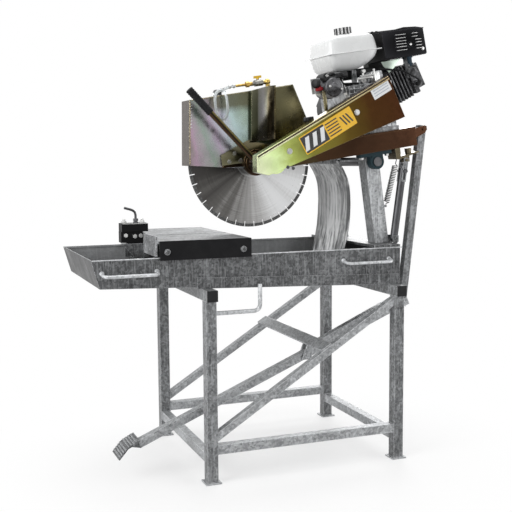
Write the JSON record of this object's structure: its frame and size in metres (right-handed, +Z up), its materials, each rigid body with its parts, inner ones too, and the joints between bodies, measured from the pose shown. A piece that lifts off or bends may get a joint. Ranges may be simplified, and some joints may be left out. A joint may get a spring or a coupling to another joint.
{
  "type": "petrol block saw",
  "caption": "Petrol-driven masonry block saw: tilting segmented blade on a galvanised tray stand, with a sliding table, foot pedal, guards, water feed and engine.",
  "frame": {"origin": "on the ground under the middle of the object's bounding box", "axes": "+Z up, +X towards the engine end, -Y towards the operator's side with the belt guard"},
  "size_m": [1.4114, 0.714, 1.6996],
  "materials": {
    "galvanised": "hot-dip galvanised, dull and mottled",
    "zinc_gold": "yellow-passivated zinc, brown to gold with a rainbow sheen",
    "cast_dark": "dark paint",
    "steel_bright": "machined",
    "segment": "sintered, rough",
    "black_rubber": "matt",
    "curtain_rubber": "rubber dusted grey by cutting slurry",
    "black_plastic": "matt",
    "black_paint": "semi-gloss",
    "teal_paint": "painted",
    "cast_alloy": "as cast",
    "tank_white": "gloss white",
    "brass": "bright",
    "yellow_plastic": "gloss",
    "clear_hose": "translucent",
    "red_plastic": "gloss",
    "spring_steel": "black oiled"
  },
  "bodies": {
    "stand": {"stand_legs": "galvanised", "foot_plates": "galvanised", "lower_rails": "galvanised", "top_cross_tubes": "galvanised", "tube_end_caps": "black_plastic", "diagonal_braces": "galvanised", "brace_cross_plate": "galvanised", "side_angle_rails": "galvanised", "water_tray": "galvanised", "tray_handles": "steel_bright", "post_base": "galvanised", "pivot_posts": "galvanised", "pivot_shaft": "steel_bright", "splash_curtain": "curtain_rubber", "return_spring": "spring_steel"},
    "pedal": {"pedal_lever": "galvanised", "pedal_plate": "galvanised"},
    "push_rod": {"push_rod": "galvanised"},
    "strut": {"strut_tube": "galvanised"},
    "strut_fork": {"strut_fork": "galvanised"},
    "cart": {"cart_table": "galvanised", "cart_aprons": "black_rubber", "cart_frame": "galvanised", "cart_fence": "galvanised", "stop_block": "black_paint"},
    "wheels_left": {"cart_wheels_left": "black_plastic"},
    "wheels_right": {"cart_wheels_right": "black_plastic"},
    "stop_screw": {"stop_screw": "steel_bright"},
    "head": {"head_beams": "zinc_gold", "engine_bed": "zinc_gold", "rear_bracket": "zinc_gold", "pillow_blocks": "teal_paint", "belt_guard": "zinc_gold", "guard_fasteners": "steel_bright", "drive_belts": "black_rubber", "spindle_housing": "zinc_gold", "spindle_bearings": "steel_bright", "blade_guard": "zinc_gold", "operating_handle": "zinc_gold", "handle_grip": "black_rubber", "water_valve": "brass", "water_hoses": "clear_hose", "crankcase": "cast_alloy", "engine_cylinder": "cast_alloy", "fuel_tank": "tank_white", "muffler": "black_paint", "air_cleaner": "black_plastic", "recoil_starter": "black_plastic"},
    "spindle": {"spindle_shaft": "steel_bright", "blade_core": "steel_bright", "blade_segments": "segment", "blade_flanges": "steel_bright", "driven_pulley": "cast_dark"},
    "crank": {"engine_pulley": "cast_dark", "crankshaft": "steel_bright"},
    "lock_knob": {"lock_knob": "black_plastic"},
    "tap": {"tap_knob": "yellow_plastic"},
    "fuel_cap": {"fuel_cap": "black_plastic"},
    "stop_switch": {"stop_switch": "red_plastic"},
    "throttle": {"throttle_lever": "steel_bright"}
  },
  "joints": [
    {"name": "head_tilt", "type": "hinge", "parent": "stand", "child": "head", "pos_m": [0.4203, 0, 1.154], "axis": [0, -1, 0], "range_deg": [0, 12], "stiffness_Nm_per_rad": 160, "springref_deg": -34.38, "deforming": ["return_spring"]},
    {"name": "blade_spin", "type": "hinge", "parent": "head", "child": "spindle", "pos_m": [-0.02546, -0.026, 1.15388], "axis": [0, 1, 0], "continuous": true},
    {"name": "engine_spin", "type": "hinge", "parent": "head", "child": "crank", "pos_m": [0.42436, -0.2, 1.37294], "axis": [0, 1, 0], "continuous": true},
    {"name": "pedal_swing", "type": "hinge", "parent": "stand", "child": "pedal", "pos_m": [0.1423, -0.17, 0.40901], "axis": [0, -1, 0], "range_deg": [0, 8]},
    {"name": "push_rod_swing", "type": "hinge", "parent": "pedal", "child": "push_rod", "pos_m": [0.5713, -0.17, 0.58747], "axis": [0, -1, 0], "range_deg": [-8, 0]},
    {"name": "strut_swing", "type": "hinge", "parent": "stand", "child": "strut", "pos_m": [0.5093, -0.215, 0.853], "axis": [0, -1, 0], "range_deg": [0, 3]},
    {"name": "strut_fork_swing", "type": "hinge", "parent": "head", "child": "strut_fork", "pos_m": [0.55194, -0.215, 1.15929], "axis": [0, -1, 0], "range_deg": [-14, 0]},
    {"name": "cart_slide", "type": "slide", "parent": "stand", "child": "cart", "axis": [1, 0, 0], "range_m": [-0.12, 0.4]},
    {"name": "wheels_left_roll", "type": "hinge", "parent": "cart", "child": "wheels_left", "pos_m": [-0.4387, 0, 0.8453], "axis": [0, 1, 0], "range_deg": [-1300, 1300]},
    {"name": "wheels_right_roll", "type": "hinge", "parent": "cart", "child": "wheels_right", "pos_m": [-0.1547, 0, 0.8453], "axis": [0, 1, 0], "range_deg": [-1300, 1300]},
    {"name": "stop_screw_turn", "type": "hinge", "parent": "cart", "child": "stop_screw", "pos_m": [-0.4967, -0.08, 0.9], "axis": [0, 0, 1], "range_deg": [-150, 150]},
    {"name": "lock_knob_turn", "type": "hinge", "parent": "head", "child": "lock_knob", "pos_m": [0.149, -0.226, 1.22513], "axis": [-0.1461, 0, 0.9893], "range_deg": [0, 180]},
    {"name": "tap_turn", "type": "hinge", "parent": "head", "child": "tap", "pos_m": [-0.00663, -0.07, 1.47134], "axis": [-0.1461, 0, 0.9893], "range_deg": [0, 90]},
    {"name": "fuel_cap_turn", "type": "hinge", "parent": "head", "child": "fuel_cap", "pos_m": [0.36994, -0.043, 1.65936], "axis": [-0.1461, 0, 0.9893], "range_deg": [0, 90]},
    {"name": "stop_switch_press", "type": "slide", "parent": "head", "child": "stop_switch", "axis": [0, 1, 0], "range_m": [0, 0.004], "stiffness_N_per_m": 300},
    {"name": "throttle_swing", "type": "hinge", "parent": "head", "child": "throttle", "pos_m": [0.38037, -0.202, 1.46551], "axis": [0, 1, 0], "range_deg": [-25, 25]}
  ],
  "couplings": [
    {"joint": "engine_spin", "follows": "blade_spin", "ratio": 0.9333},
    {"joint": "pedal_swing", "follows": "head_tilt", "ratio": 0.5149},
    {"joint": "push_rod_swing", "follows": "head_tilt", "ratio": -0.4494},
    {"joint": "strut_swing", "follows": "head_tilt", "ratio": 0.102},
    {"joint": "strut_fork_swing", "follows": "head_tilt", "ratio": -0.898},
    {"joint": "wheels_left_roll", "follows": "cart_slide", "rad_per_m": 52.632},
    {"joint": "wheels_right_roll", "follows": "cart_slide", "rad_per_m": 52.632}
  ]
}
